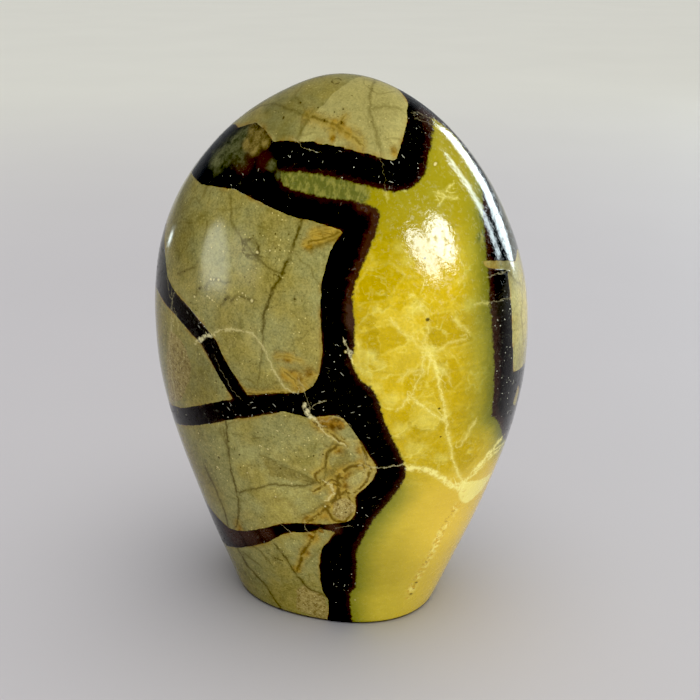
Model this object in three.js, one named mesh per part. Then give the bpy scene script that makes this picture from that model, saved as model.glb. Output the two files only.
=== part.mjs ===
// A polished, free-standing septarian nodule: one solid stone, ground to a smooth
// upright egg and cut flat at its narrow end so that it stands.
// Millimetres, +Z up. The origin is the middle of the flat foot, and the broad face
// looks along -Y.
import * as THREE from 'three';

// Driving dimensions
const height = 150;            // flat foot to crown
const footArris = 1.5;         // radius of the rounded edge around the foot
const sectionPower = 2.3;      // outline of a level section: 2 is an ellipse, more is squarer

// Level sections at equal steps of the profile angle, from the foot up to the crown:
// half width along X, half depth along Y, and how far the middle leans towards +X.
const sections = new THREE.CatmullRomCurve3([
  new THREE.Vector3(30.5, 24.0, 0.0),
  new THREE.Vector3(42.5, 30.5, 0.4),
  new THREE.Vector3(51.0, 33.5, 0.5),
  new THREE.Vector3(51.5, 32.0, 0.4),
  new THREE.Vector3(44.0, 27.0, 0.3),
  new THREE.Vector3(30.5, 18.5, 1.2),
  new THREE.Vector3(14.5, 8.7, 2.4),
  new THREE.Vector3(0.0, 0.0, 2.4),
], false, 'catmullrom', 0.5);

// Fineness of the facets
const ringCount = 36;
const segmentCount = 72;
const arrisSteps = 3;

// The profile angle runs from 0 at the foot to a quarter turn at the crown, so that
// rings lie closer together where the stone closes over.
const levelOfRing = (ring) => height * Math.sin((ring / ringCount) * (Math.PI / 2));
const profileShare = (level) => Math.asin(Math.min(level / height, 1)) / (Math.PI / 2);

// A profile to revolve: x is the share of the full section, y is the level.
function profile() {
  const points = [new THREE.Vector2(0, 0)];
  const footHalfWidth = sections.getPoint(0).x;
  for (let step = 0; step <= arrisSteps; step += 1) {
    const turn = (step / arrisSteps) * (Math.PI / 2);
    const inset = footArris * (1 - Math.sin(turn));
    points.push(new THREE.Vector2(1 - inset / footHalfWidth, footArris * (1 - Math.cos(turn))));
  }
  for (let ring = 1; ring < ringCount; ring += 1) {
    points.push(new THREE.Vector2(1, levelOfRing(ring)));
  }
  points.push(new THREE.Vector2(0, height));
  return points;
}

// How much further than an ellipse the section reaches at an angle around the stone.
function sectionReach(angle) {
  const across = Math.abs(Math.cos(angle)) ** sectionPower;
  const along = Math.abs(Math.sin(angle)) ** sectionPower;
  return (across + along) ** (-1 / sectionPower);
}

// Turns the revolved unit profile into the stone: every ring takes the half width, half
// depth and lean of its own level.
function shapeStone(geometry) {
  const position = geometry.getAttribute('position');
  for (let i = 0; i < position.count; i += 1) {
    const level = position.getY(i);
    const angle = Math.atan2(-position.getZ(i), position.getX(i));
    const share = Math.hypot(position.getX(i), position.getZ(i)) * sectionReach(angle);
    const section = sections.getPoint(profileShare(level));
    const x = section.z + section.x * share * Math.cos(angle);
    const y = section.y * share * Math.sin(angle);
    position.setXYZ(i, x, y, level);
  }
  geometry.computeVertexNormals();
  return geometry;
}

function septarianNodule() {
  const material = new THREE.MeshStandardMaterial({
    color: 0x8f8848,
    roughness: 0.15,
    metalness: 0,
  });
  const geometry = shapeStone(new THREE.LatheGeometry(profile(), segmentCount));
  const stone = new THREE.Mesh(geometry, material);
  stone.name = 'septarian_nodule';
  return stone;
}

const part = new THREE.Group();
part.name = 'polished_septarian_nodule';
part.add(septarianNodule());

export default part;
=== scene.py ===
import math
from collections import namedtuple

import bpy
import numpy as np
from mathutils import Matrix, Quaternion, Vector


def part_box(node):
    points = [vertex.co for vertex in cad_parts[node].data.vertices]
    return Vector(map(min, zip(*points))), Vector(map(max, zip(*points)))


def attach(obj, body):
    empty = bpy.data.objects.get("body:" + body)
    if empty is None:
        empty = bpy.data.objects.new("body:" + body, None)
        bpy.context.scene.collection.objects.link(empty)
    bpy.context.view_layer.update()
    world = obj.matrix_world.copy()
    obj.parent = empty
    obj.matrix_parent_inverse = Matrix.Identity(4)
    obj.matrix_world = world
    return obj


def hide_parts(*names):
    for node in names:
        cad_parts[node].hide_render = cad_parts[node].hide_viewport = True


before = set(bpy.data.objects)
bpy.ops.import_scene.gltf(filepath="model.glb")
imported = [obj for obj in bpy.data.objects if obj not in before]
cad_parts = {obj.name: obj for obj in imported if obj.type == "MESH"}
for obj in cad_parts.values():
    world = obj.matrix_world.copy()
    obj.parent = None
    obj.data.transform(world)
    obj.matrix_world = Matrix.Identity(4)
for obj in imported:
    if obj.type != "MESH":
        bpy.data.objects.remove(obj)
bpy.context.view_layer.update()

bl_info = {
    "name": "Septarian Nodule",
    "version": (1, 0, 0),
    "blender": (4, 5, 0),
    "location": "3D View > Sidebar > Nodule",
    "description": "Models a polished, free-standing septarian nodule and the stage it stands on",
    "category": "Object",
}

NODE = "septarian_nodule"
MM = 0.001
MM_IN_METRE = 1000

FOOT_CORNER, CROWN_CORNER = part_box(NODE)
STONE_HEIGHT = CROWN_CORNER.z - FOOT_CORNER.z

# The section's half width, half depth and sideways lean, in mm, at stations from the foot to
# the crown. The stations share out a quarter turn evenly, and each one's level is the stone's
# height times the sine of its angle.
HALF_WIDTHS = (30.5, 42.5, 51.0, 51.5, 44.0, 30.5, 14.5, 0.0)
HALF_DEPTHS = (24.0, 30.5, 33.5, 32.0, 27.0, 18.5, 8.7, 0.0)
LEANS = (0.0, 0.4, 0.5, 0.4, 0.3, 1.2, 2.4, 2.4)
# The section is fuller than an ellipse, whose power would be 2.
SECTION_POWER = 2.3
# The last ring's share of the way to the crown, and the rings inside the foot as shares of it.
SMALLEST_RING = 0.985
FOOT_RINGS = (0.72, 0.45, 0.2)
# Hollows of hand polishing: their size, and where on the way up from the foot they begin and
# reach their full depth, in mm.
HOLLOW_SIZE = 26
HOLLOWS_FROM = 2.0
HOLLOWS_FULL = 10.0

# A face of the stone: which axes are its across, its up and its depth, the way it looks, and a
# depth that is outside the stone on its side, in mm.
Face = namedtuple("Face", "across up deep toward outside")
FRONT = Face(0, 2, 1, -1, -45)
BACK = Face(0, 2, 1, 1, 45)
LEFT = Face(1, 2, 0, -1, -60)
RIGHT = Face(1, 2, 0, 1, 60)
CROWN = Face(0, 1, 2, 1, 160)


def on_faces(kind, table):
    """The rows of a table by face, each made into one mark of its kind on that face."""
    return tuple(kind(face, *row) for face, rows in table.items() for row in rows)


# A prism let in from outside a face: the depth that it reaches to, and its outline, in mm.
Body = namedtuple("Body", "face reach outline")
# Blocks of clay-limestone matrix.
MATRIX_BLOCKS = {
    "upper left": Body(FRONT, 4, (
        (-60, 119), (-60, 124.5), (-35.5, 124.5), (-30.5, 123.5), (-19, 124), (-12, 122),
        (-3.5, 119.5), (3.5, 118.5), (10.5, 117), (7.8, 112), (6.2, 105), (6, 98), (7, 87),
        (6.4, 82), (4.7, 78.3), (2, 76.2), (-5, 75.2), (-13.3, 73.2), (-15.5, 76), (-19.4, 80.8),
        (-22.5, 86.4), (-27.5, 90.4), (-31.3, 93.2), (-36.6, 96), (-40, 99), (-41.6, 104),
        (-43.3, 108), (-44.6, 113))),
    "left rim": Body(FRONT, 16, (
        (-60, 93), (-45, 93.4), (-41, 91.5), (-36.6, 90), (-31.8, 87), (-27, 84), (-22.7, 77.7),
        (-17.8, 71), (-21.6, 69.7), (-28.5, 66.6), (-35.9, 63), (-45, 59.5), (-60, 57))),
    "left flank": Body(LEFT, -20, (
        (-8, 99.5), (-6, 103), (-5, 107), (-2, 114), (0, 121), (7, 123), (14, 120), (20, 113),
        (22, 104), (17, 100.5), (8, 99), (0, 98))),
    "lower left": Body(FRONT, 10, (
        (-60, 50), (-48, 52.5), (-39.4, 55.7), (-27, 61.3), (-18.6, 65), (-11.5, 67.4), (-7, 69),
        (-3, 70.4), (3.8, 69.4), (9, 70.9), (12.4, 70.5), (14.4, 68), (17, 64), (19.4, 59.3),
        (20.7, 57.5), (20.7, 55.5), (19.4, 52.3), (17.4, 50), (15.1, 47.5), (15.2, 44.3),
        (14.8, 41.6), (13.7, 39.5), (11.5, 38.4), (6.6, 37.2), (-1.4, 36.2), (-6.7, 34.6),
        (-10, 32.6), (-15.7, 29.5), (-21.6, 27), (-24.4, 26.4), (-31, 29), (-60, 39))),
    "foot left": Body(FRONT, 12, (
        (-60, 22), (-34, 16), (-28, 16.6), (-21.3, 20.4), (-14.6, 24.4), (-9.8, 27.7),
        (-6.7, 30.6), (-3.1, 32.6), (1.9, 33.6), (5.6, 35.2), (9.2, 35.2), (7.7, 32),
        (5.9, 29.7), (4.8, 26.8), (4, 21.8), (3.8, 16), (4.1, 12), (5.6, 9.1), (5.4, 4.9),
        (4.5, 0), (4, -10), (-60, -10))),
    "crown": Body(CROWN, 110, (
        (-26, -6), (-22.5, -10.5), (-19.6, -11.6), (-17, -12.2), (-14.4, -14.2), (-11.5, -16.6),
        (-10, -17.6), (-1.6, -18), (7, -18.2), (10.2, -18.3), (16.6, -18.1), (20.3, -17.3),
        (21, -16.7), (21.5, -12.8), (21.4, -9.4), (19.9, -3.4), (17.9, -0.8), (15.6, 1.5),
        (12, 6), (5, 10), (-6, 11), (-17, 8), (-25, 2))),
    "right rim": Body(RIGHT, 30, (
        (-9.6, 104.5), (-10.8, 97.3), (-11.3, 88), (-10.5, 78.5), (-4, 77.5), (3, 76.4),
        (12, 79), (16, 92), (13, 105), (2, 107.5))),
    "right bridge": Body(RIGHT, 30, (
        (-15.6, 109.2), (-11.5, 108.2), (-8, 107.3), (-1, 105.2), (-2.5, 103.5), (-8.5, 105.3),
        (-12.5, 106.3), (-15.8, 107.5))),
    "right sliver": Body(RIGHT, 30, ((-7.5, 68.5), (-5.5, 73), (-3.5, 70), (-4.5, 66))),
    "back right": Body(BACK, 4, (
        (60, 108), (44, 107), (34, 103), (28, 95), (29, 84), (37, 77), (48, 76), (60, 77))),
    "back upper": Body(BACK, 6, (
        (-27, 98), (-29, 109), (-21, 119), (-8, 124.5), (4, 123), (11, 115), (10, 102),
        (2, 95), (-10, 91.5), (-21, 93))),
    "back shoulder": Body(BACK, 8.5, (
        (20, 136), (31, 127), (40, 115), (33, 112), (25, 115), (19, 123), (16, 131))),
    "back lower": Body(BACK, 4, (
        (-21, 62), (-8, 69), (7, 66), (17, 55), (20, 38), (15, 20), (9, 6), (8, -10),
        (-10, -10), (-13, 8), (-21, 24), (-25, 44))),
    "back wedge": Body(BACK, 14, ((31, 47), (41, 46), (42, 36), (36, 27), (29, 33), (28, 41))),
}

# Yellow calcite on the front and the right side.
CALCITE_BODIES = {
    "front": Body(FRONT, 1.5, (
        (-6.8, 128.9), (-1.8, 129.2), (3.3, 129), (9.6, 128), (17.7, 126.4), (21.5, 125.6), (25.2, 126.5),
        (27.2, 128.4), (27.8, 130.6), (27.7, 136), (27.1, 138.7), (24.4, 142.6), (60, 142),
        (60, -10), (12, -10), (11.7, 7), (12, 12.5), (13.6, 15), (14.1, 19), (14.5, 25),
        (14.8, 29), (17.1, 34.6), (19.3, 39.5), (21.7, 43), (26, 50), (27.9, 54), (27.9, 57),
        (25.8, 63), (22.8, 70), (21, 76.7), (19.4, 79.3), (16.8, 80.8), (14.2, 85.3),
        (15, 89.7), (14.8, 94.5), (13.9, 102), (15.1, 107), (16.8, 112), (18.5, 117),
        (18.8, 121), (17.9, 122.3), (12.3, 123.7), (4, 124.2), (0.1, 124.9), (-3.9, 125.5),
        (-6.1, 126.3))),
    "lower right": Body(FRONT, 13, ((24, -10), (24, 40), (30, 52), (60, 54), (60, -10))),
    "right side": Body(RIGHT, 30, ((0, 50), (0, 64), (10, 73), (16, 72), (16, 50))),
}
# The dark lining that keeps the front calcite off the right rim's block.
RIGHT_LINING = Body(RIGHT, 30, (
    (2, 150), (1.5, 138), (0, 130), (-5, 125), (-10.5, 119), (-13.5, 112.5), (-15, 108),
    (-17, 99.5), (-17.7, 88), (-17.4, 78), (-16.7, 68.5), (-13.7, 65.5), (-9, 59), (-5, 56),
    (2, 53.5), (5, 55), (7.5, 59.5), (10.5, 65), (16, 69), (60, 70), (60, 150)))
# Behind this depth, calcite fills what is further than a lining's thickness from every block.
BACK_CALCITE_FROM = 5.0
BACK_LINING = 7.0
BACK_LINING_CHANGE = 1.4
# Bodies end unevenly from this depth on, fully so this much further back.
WAVES_FROM = -2.0
WAVES_REACH = 12.0

# Fine lines: half width and the points they pass, in mm, by face.
Line = namedtuple("Line", "face half_width points")
DARK_HAIRLINES = on_faces(Line, {
    FRONT: (
        (0.42, ((0.5, 120), (-2, 111), (-4.5, 105), (-6.5, 101.5), (-8.5, 95), (-8.7, 90.5))),
        (0.2, ((-8.7, 90.5), (-9, 85), (-10, 78))),
        (0.24, ((-5.5, 106), (-9.5, 108), (-12.5, 110), (-14, 111.5))),
        (0.18, ((-20, 122.5), (-19, 116.5), (-16, 113.5))),
        (0.24, ((-35, 101), (-33, 102), (-30.5, 103.5))),
        (0.24, ((-28.8, 97.4), (-27.4, 99.4), (-25.8, 99.4), (-24.6, 101.4), (-22, 102.4),
                (-20.4, 101.4), (-19, 102))),
        (0.26, ((-20.4, 96), (-19, 98.6), (-17.6, 97.4), (-16, 99.2), (-13.5, 98.6), (-11.5, 98.4))),
        (0.3, ((-15.6, 112.4), (-13.4, 113), (-11, 112), (-10.4, 110), (-12, 108.8))),
        (0.16, ((3, 112.2), (6, 113.8), (9.5, 115.5))),
        (0.34, ((-20.5, 64), (-20.5, 55), (-20.5, 50), (-19.5, 44), (-19, 39), (-19.5, 34), (-21, 29))),
        (0.16, ((-22.5, 61), (-21, 56), (-20.5, 50))),
        (0.3, ((-30, 46), (-27, 39), (-25, 33), (-24.5, 27))),
        (0.28, ((-18, 42), (-12.5, 45), (-8, 47.5), (-2.5, 48), (1.5, 49), (5.5, 50.5))),
        (0.18, ((-10, 56), (-3.5, 54), (1.5, 52.5), (5, 51))),
        (0.16, ((9.5, 46), (5, 42.5), (1, 39.5))),
        (0.2, ((13, 62.5), (9.5, 63), (8.5, 59.5), (7.5, 57), (7.5, 53), (6.5, 51))),
        (0.34, ((-22.5, 20), (-20, 14), (-14, 9), (-11.5, 4), (-9.5, 0.5))),
        (0.34, ((-8.5, 26.5), (-6, 23), (-3, 16.5), (-0.5, 12.5), (4.5, 10.5))),
        (0.22, ((-17, 23.5), (-13.5, 22.5), (-11, 19))),
        (0.2, ((-20, 19), (-15, 16.5))),
    ),
    CROWN: (
        (0.18, ((-21, -6.5), (-17, -7), (-11, -10), (-7.5, -12), (-3, -13.5), (2, -14.5))),
        (0.17, ((10, 2), (11, -3), (11.5, -7.5), (13, -12), (15, -14.5), (17, -17))),
        (0.14, ((12.5, -10.5), (19, -7.5))),
        (0.14, ((-2, -13.5), (-4, -17.5))),
    ),
    LEFT: (
        (0.24, ((-2, 90), (2, 80), (10, 72), (14, 64))),
        (0.2, ((-12, 45), (-4, 40), (2, 30))),
    ),
    BACK: (
        (0.34, ((-12, 122), (-10, 112), (-4, 104), (-5, 94))),
        (0.24, ((-27, 104), (-16, 101), (-7, 108))),
        (0.34, ((-22, 52), (-10, 47), (-2, 36), (4, 24), (3, 8))),
        (0.22, ((-10, 47), (-8, 60), (-2, 66))),
        (0.24, ((36, 78), (38, 90), (46, 100))),
    ),
    RIGHT: (
        (0.2, ((-9, 105), (-7, 102), (-2, 99), (6, 102))),
        (0.16, ((-2, 99), (-6, 92), (-4, 84))),
    ),
})
PALE_THREADS = on_faces(Line, {
    FRONT: (
        (0.24, ((-24.5, 87.5), (-21, 89.5), (-15, 90.5), (-11, 89.5), (-9, 87.5), (-7.5, 84.5),
                (-5.5, 80.5), (-3, 77), (0, 76))),
        (0.55, ((-23.5, 88), (-26.5, 86), (-29, 84.5))),
        (0.17, ((-4.7, 136.1), (-2.6, 134.9), (-0.2, 134.2), (1.8, 133.8))),
        (0.3, ((12.2, 90.6), (13.6, 88.1), (14.6, 86))),
        (0.2, ((5.2, 73.4), (7.2, 74.5))),
        (0.18, ((-37, 95.5), (-38, 93), (-38, 87.5), (-39, 83), (-40, 77), (-39.5, 72.5), (-39, 67),
                (-39, 60))),
        (0.16, ((-40, 98), (-38.5, 94), (-36, 90), (-35.5, 86.5))),
        (0.16, ((1, 79.5), (2.5, 76.5), (3.5, 73.5), (3.8, 70.5))),
        (0.75, ((2.6, 73), (3.4, 70.6), (5.2, 69))),
        (0.26, ((5.5, 68.5), (7.5, 66), (10.5, 64), (13, 62.5))),
        (0.16, ((5.5, 68.5), (8.5, 69.5), (11, 71), (13.6, 69))),
        (0.26, ((7.5, 51), (9, 50.5), (9.4, 48), (7.5, 45.5))),
        (0.14, ((17.5, 60.5), (17.6, 57), (18, 53.5))),
        (0.16, ((-6.5, 34.8), (-3.2, 32.4))),
        (0.16, ((1, 36.6), (0.8, 35), (2, 33.5))),
        (0.14, ((-23, 81.5), (-21.5, 78.5), (-18, 74), (-15.5, 71.5))),
        (0.22, ((17, 57), (19, 56.8), (24, 57), (27.5, 58))),
        (0.6, ((27.9, 56.9), (32.7, 56.2), (35.9, 53), (38.4, 49.6), (40.4, 46.8))),
        (0.12, ((16.8, 134), (18, 131.5), (19, 128.5), (20, 124.5))),
        (0.2, ((32.5, 88.5), (31.2, 86), (31.6, 83.5), (29.8, 80.5), (29, 77.5), (26, 73.5))),
        (0.24, ((32.5, 88.5), (34, 85), (35, 82.5), (35.2, 80), (36.5, 75), (37.5, 67), (39.5, 54.5),
                (41, 48.5))),
        (0.15, ((32.5, 88.5), (35, 89), (37, 90.6), (40, 91))),
        (0.16, ((32.5, 88.5), (30, 90), (28.5, 92.4), (25.5, 93.6), (23.5, 96.5))),
        (0.15, ((32.5, 88.5), (31.2, 91.5), (32.2, 94), (31.6, 97), (30, 99.5))),
        (0.15, ((34, 85), (36.5, 83.4), (38, 80))),
        (0.15, ((31.6, 83.5), (28.5, 84), (26, 81.5))),
        (0.4, ((40.8, 48.9), (44.8, 53.8), (48.8, 58.6))),
        (0.3, ((42.6, 50.1), (46, 53.4), (48.6, 55))),
        (0.18, ((43.5, 68.5), (42, 65), (40.5, 62))),
        (0.16, ((37.5, 96.5), (39.5, 94.5), (41, 92.5))),
        (0.24, ((28.5, 77.5), (33, 73), (37, 70))),
        (0.2, ((32, 123.5), (33.5, 126.5))),
        (0.18, ((31, 125.2), (35, 123.8))),
        (0.24, ((12.5, 90), (14.5, 87.5))),
        (0.1, ((-19, 136), (-19, 137.5), (-17, 138.5), (-14.5, 138), (-12, 136.5), (-10, 135.5))),
        (0.14, ((10, 36.5), (13, 37.5))),
    ),
    CROWN: (
        (0.14, ((21.5, -6.5), (26.5, -2))),
        (0.14, ((23.5, -7), (27.5, -4))),
    ),
    RIGHT: (
        (0.16, ((-15, 105.5), (-12, 105.3), (-9, 105))),
        (0.15, ((-19, 99.2), (-17, 99), (-15, 99), (-13.5, 99), (-10.5, 98.5))),
    ),
    BACK: (
        (0.3, ((12, 80), (18, 74), (24, 66), (26, 54), (22, 44))),
        (0.3, ((18, 74), (12, 88), (16, 98))),
        (0.24, ((-30, 80), (-22, 76), (-10, 80), (2, 78), (12, 80))),
    ),
})
# Cracks that iron has stained: brown with a golden border in the blocks, crumbly in the calcite.
RUSTY_VEINS = on_faces(Line, {
    FRONT: (
        (0.6, ((17, 64), (18, 60.5), (18, 57.5), (14, 56.5), (12, 54.5), (10.5, 53), (11, 50),
               (9.5, 45.5), (7.5, 43), (4, 39), (1.5, 36.8))),
        (0.45, ((12, 64), (10, 61.5), (8, 60), (7.5, 55.5), (4.5, 53), (5, 51.5))),
        (0.4, ((18, 57.5), (19.5, 57), (18, 52), (15.5, 49))),
        (0.5, ((10.5, 45.5), (12.5, 48.5), (14, 46), (14, 42), (12, 38.5), (9, 39), (7.5, 42.5))),
        (0.45, ((5, 69), (8, 69.5), (11, 70), (13, 69.5))),
        (0.4, ((5, 68), (8, 66.6), (10.6, 64.8), (13, 62.8))),
        (0.4, ((11.5, 51.5), (9, 52), (6.5, 49.5), (4.5, 48))),
        (0.6, ((3.5, 34), (2, 29.8), (0, 27), (-1, 24), (-2.6, 19))),
        (0.3, ((1.5, 113.5), (4.5, 114.5), (8, 115.5), (10.5, 117))),
        (0.2, ((3, 116), (6, 117), (10, 117.5))),
        (0.22, ((-4.7, 85.1), (-2, 85.4), (1.2, 84.8))),
        (0.26, ((-3.3, 81.6), (-0.1, 79.3), (3.1, 77.1))),
        (0.22, ((0.7, 78.1), (3.3, 79.8), (5.9, 81.1))),
        (0.3, ((-14.1, 73.6), (-9.2, 74.2), (-4.2, 75.5), (1.2, 76.2))),
        (0.2, ((-20.5, 31), (-21, 28))),
        (0.26, ((27, 56.5), (30, 56), (33.5, 55), (37, 51.5), (39.5, 49), (41, 45.5))),
        (0.75, ((40.2, 43.1), (37.4, 37.2), (34.6, 29.4), (31, 20.6), (28.8, 14.9), (26.6, 9.2))),
    ),
    CROWN: (
        (0.26, ((-3, -13.5), (2, -14.7), (5, -15.2), (8, -16), (12, -17))),
        (0.24, ((4.5, -16.5), (5.5, -15), (6.5, -13.6))),
    ),
    BACK: (
        (0.36, ((-6, 68), (-3, 60), (2, 54), (10, 50), (15, 44))),
        (0.3, ((28, 92), (34, 88), (42, 84))),
        (0.3, ((2, 118), (6, 110), (9, 102))),
    ),
})

# Clear golden facets in the calcite, and paler, darker and chalky parts of the stone, as prisms. The
# paler part on the crown is a painted reflection of the ceiling.
GOLD_FACETS = on_faces(Body, {
    FRONT: (
        (0, ((31, 94), (32, 97.5), (36.5, 98), (38.5, 95.5), (42.5, 90.5), (37, 89.5), (33.5, 90))),
        (0, ((15.5, 92.5), (19, 94), (23, 95), (26.5, 93.5), (27.5, 91), (21, 88), (16.5, 89))),
        (0, ((34.5, 86.5), (38.5, 86.5), (40.5, 81), (38, 78), (36, 79.5))),
        (0, ((27, 81), (31, 85.5), (32.5, 82), (31, 77.5), (27.5, 76.5))),
        (0, ((14.5, 103), (17.5, 108.5), (22.5, 109.5), (25.5, 107), (22, 101.5), (16, 100.5))),
        (0, ((38.5, 62.5), (42.6, 64), (46, 61.5), (44.4, 57.5), (40.9, 52.5), (39.6, 56))),
    ),
    BACK: (
        (4, ((22, 68), (28, 74), (34, 70), (30, 62))),
        (4, ((-26, 82), (-18, 86), (-12, 80), (-20, 76))),
    ),
})
PALE_PARTS_AND_PAINTED_REFLECTION = on_faces(Body, {
    # The crown's paler right part is a painted reflection of the ceiling.
    CROWN: (
        (110, ((6.5, -3), (4.5, -6), (2.5, -8.5), (1, -11), (-1, -13), (-2.5, -15.5), (-4.5, -19),
               (24, -20), (24, 8), (10, 8))),
    ),
    FRONT: (
        (4, ((13, 65), (17, 64.5), (20.5, 58), (18, 57.5), (15.5, 60), (12.8, 62.5))),
        (4, ((12.5, 52), (17, 55.5), (21, 56), (19.5, 52), (15, 47.5), (12.5, 49))),
        (12, ((40.1, 48.6), (41, 49.8), (45.4, 47), (47, 46.6), (44.5, 42), (41.6, 40.4), (40.1, 43))),
    ),
    BACK: (
        (4, ((-26, 108), (-16, 104), (-10, 112), (-14, 124), (-30, 124))),
    ),
})
DARK_PARTS = on_faces(Body, {
    FRONT: (
        (4, ((12.5, 62), (14.5, 60), (13.5, 55.5), (9.5, 51), (7.5, 49.5), (8, 53.5), (10, 57.5))),
        (4, ((-10.5, 56), (-2, 53), (7, 51.2), (4, 49.6), (-8, 50))),
    ),
    BACK: (
        (4, ((-10, 46), (0, 34), (12, 40), (4, 60))),
    ),
})
CHALKY_PARTS = on_faces(Body, {
    FRONT: (
        (4, ((-1, 13.5), (4.5, 10), (5.4, 4), (5, 0), (1, 0.5), (-4.5, 3), (-4, 10.5))),
        (4, ((11, 46.5), (14, 46), (15, 43.5), (13.5, 40.5), (11, 39), (9, 41), (9.5, 44.5))),
        (10, ((-39, 85), (-34, 83), (-31, 77.5), (-32, 73), (-36, 65.5), (-43, 61), (-41.5, 75.5))),
    ),
    BACK: (
        (4, ((-22, 26), (-14, 22), (-10, 30), (-16, 38), (-24, 36))),
    ),
})

# Soft patches: across, up and radius in mm, by face. Overlapping patches make a stretched one.
Patch = namedtuple("Patch", "face across up radius")
STAINS = {
    "rust": on_faces(Patch, {
        FRONT: (
            (4.5, 115, 2.4), (7.5, 116, 2.4), (10, 116.5, 2), (2.5, 113, 1.8), (-2.5, 80, 2),
            (0, 80.5, 2.6), (1, 78, 2.4), (3.5, 82, 2), (-2, 84.8, 1.6), (6.8, 68, 2.4),
            (9.8, 68.2, 2.6), (11, 61, 1.8), (10, 47.5, 2.6), (12.5, 50.5, 2.2), (16.6, 61.5, 1.8),
            (12.5, 54, 2.6), (10.5, 50, 2.6), (9, 44.5, 2.2), (6.5, 40.5, 2.4), (2, 38, 2),
            (17, 57.5, 2), (11.5, 38.6, 2), (3, 32, 2.2), (0.5, 26, 1.8), (-20, 28.5, 1.6),
            (-3, 19, 1.4),
        ),
        CROWN: ((4.5, -15, 1.2), (6.5, -15.2, 1.3), (8.5, -16, 1.1), (5, -17.2, 0.9), (20, -16, 1.2)),
        BACK: ((-3, 62, 4), (32, 88, 4), (7, 108, 4), (9, 51, 4)),
    }),
    "ochre": on_faces(Patch, {
        FRONT: (
            (6.6, 68.6, 1.5), (9.2, 68.8, 1.9), (11.6, 68.4, 1.5), (-17, 137, 2), (-15, 136, 2.4),
            (-12.5, 135.2, 2), (-15.2, 133.6, 2.2), (-17.6, 134.2, 2), (2.4, 32.4, 1), (5.4, 34.8, 1),
        ),
        BACK: ((16, 57, 2.4),),
    }),
    "moss": on_faces(Patch, {
        FRONT: (
            (-26.5, 129, 3), (-24, 131, 3.4), (-21.5, 133.6, 3), (-19.5, 136, 2.2), (-19.8, 131.6, 3),
            (-9.6, 130.3, 1.7), (-7.4, 128.2, 1.3),
        ),
        BACK: ((-4, 76, 5),),
    }),
    "maroon": on_faces(Patch, {
        FRONT: (
            (-17.5, 130.4, 4), (-12, 131, 3), (-23, 24, 4.5), (-17, 27, 4.5), (-11, 30, 3),
            (9, 36.2, 2.6),
        ),
        BACK: ((14, 40, 5),),
    }),
    "brown": on_faces(Patch, {
        FRONT: ((17, 122, 4), (17, 115, 5), (15, 106, 5), (13.6, 98, 4)),
        BACK: ((-30, 90, 8), (20, 62, 8)),
    }),
    "green": on_faces(Patch, {
        FRONT: (
            (-7, 127.5, 3), (-2, 127, 3.4), (3.5, 126.5, 3.6), (8.5, 125.5, 3.6), (13, 125, 2.6),
            (41.5, 119.5, 1.4), (42, 114.5, 1.4),
        ),
        BACK: ((30, 56, 5),),
    }),
    "dust": on_faces(Patch, {
        FRONT: (
            (23, 138, 3.4), (24, 132.5, 3.4), (-2, 133.3, 3), (3, 132.8, 3), (9, 131.2, 2.6),
            (18, 130, 3), (-29, 64.5, 4), (-10, 71.5, 4), (0, 74, 3), (10, 80, 4), (15.5, 76, 4),
            (21, 66, 4), (10.5, 18, 4), (9, 8, 4), (-27, 92, 4), (11, 86, 4), (6, 74.5, 3), (20, 73, 4),
            (-20, 125, 3), (-14.5, 126, 3), (5, 130.5, 4), (-22, 66, 4), (-35, 58, 4), (17, 42, 4),
        ),
        RIGHT: ((-14, 94, 5), (-14, 82, 6), (-13, 70, 5)),
        BACK: ((20, 100, 7), (-28, 74, 6), (24, 30, 6)),
    }),
    "glow": on_faces(Patch, {
        FRONT: (
            (15.4, 90.4, 1.8), (15.6, 84.5, 2), (21, 85, 1.8), (16.5, 87.5, 2), (19, 87.3, 2.4),
            (21.5, 85.4, 2), (18, 83, 2), (20.5, 79, 2.4), (24, 76, 3), (26.5, 68, 3), (41, 99.5, 2.4),
            (29, 99.5, 2.8), (32.5, 70, 4), (30, 62.5, 3.6), (36, 59, 2.4), (43, 46.5, 2.4),
            (42.2, 43, 2), (44.6, 48, 2), (32.8, 88.6, 2.4), (29.5, 125.5, 1.3), (24, 113.5, 2),
            (26.5, 110, 2), (35.5, 84, 2.4),
        ),
        BACK: ((20, 74, 5), (-12, 80, 4)),
    }),
}

# Parts that are darker or lighter all over: a patch and the share that it adds to the brightness. Some of
# them are painted light, as marked below.
Tone = namedtuple("Tone", "face across up radius change")
TONES_AND_PAINTED_LIGHT = on_faces(Tone, {
    # On the crown, the darkening at the left is painted shade, where light from the right falls off.
    CROWN: ((-13, -11, 9, -0.34), (6, -8, 14, -0.3), (17, -10, 7, -0.14)),
    # On the front, the darker patches left of about 25 mm across are painted shade, where light from the
    # right falls off.
    FRONT: (
        (-38, 114, 10, -0.3), (19, 85, 5, -0.12), (-8, 40, 6, 0.08), (-28, 76, 9, -0.3),
        (-4, 47, 15, 0.26), (-30, 42, 8, -0.12), (-17, 13, 12, -0.2), (-28, 52, 7, -0.12),
        (44, 74, 6, -0.1), (43, 96, 6, -0.1), (36, 34, 9, 0.14), (22, 22, 9, -0.2),
    ),
    # On the right face, the large lightening over the block is a painted reflection.
    RIGHT: ((2, 92, 12, 0.85), (-9, 106.6, 4, -0.45)),
})
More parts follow.
